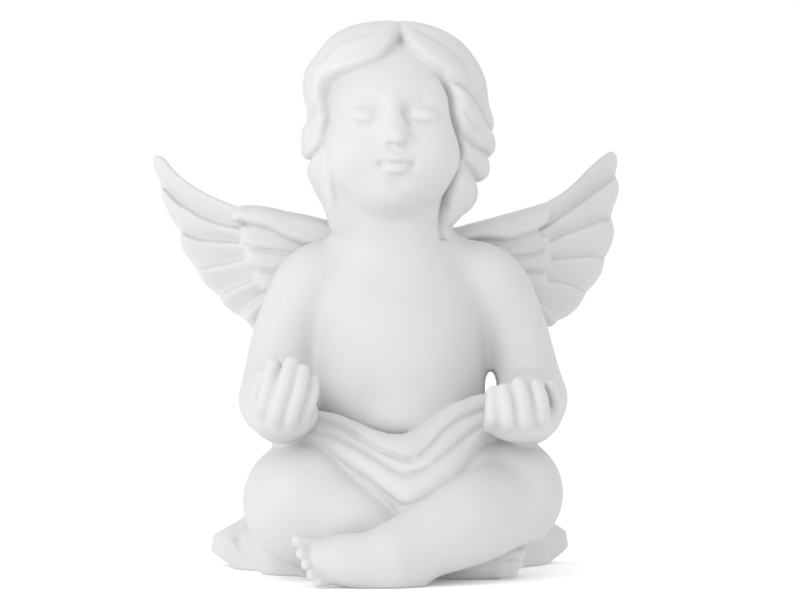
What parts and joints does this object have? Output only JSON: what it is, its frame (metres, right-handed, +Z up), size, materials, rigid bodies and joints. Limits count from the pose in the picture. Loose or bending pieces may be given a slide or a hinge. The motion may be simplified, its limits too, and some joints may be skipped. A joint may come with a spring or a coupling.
{
  "type": "angel figurine",
  "caption": "Seated cherub figurine with open wings, crossed legs, raised palms and cloth over its lap, cast in unglazed white porcelain.",
  "frame": {"origin": "on the floor, in the middle of the flat underside, below the neck", "axes": "+Z up from the floor to the crown, -Y the way the figure faces, +X to the viewer's right"},
  "size_m": [0.1229, 0.0894, 0.14],
  "materials": {
    "porcelain": "unglazed white porcelain, fired matt with a fine smooth grain"
  },
  "bodies": {
    "root": {"figurine": "porcelain"}
  },
  "joints": []
}
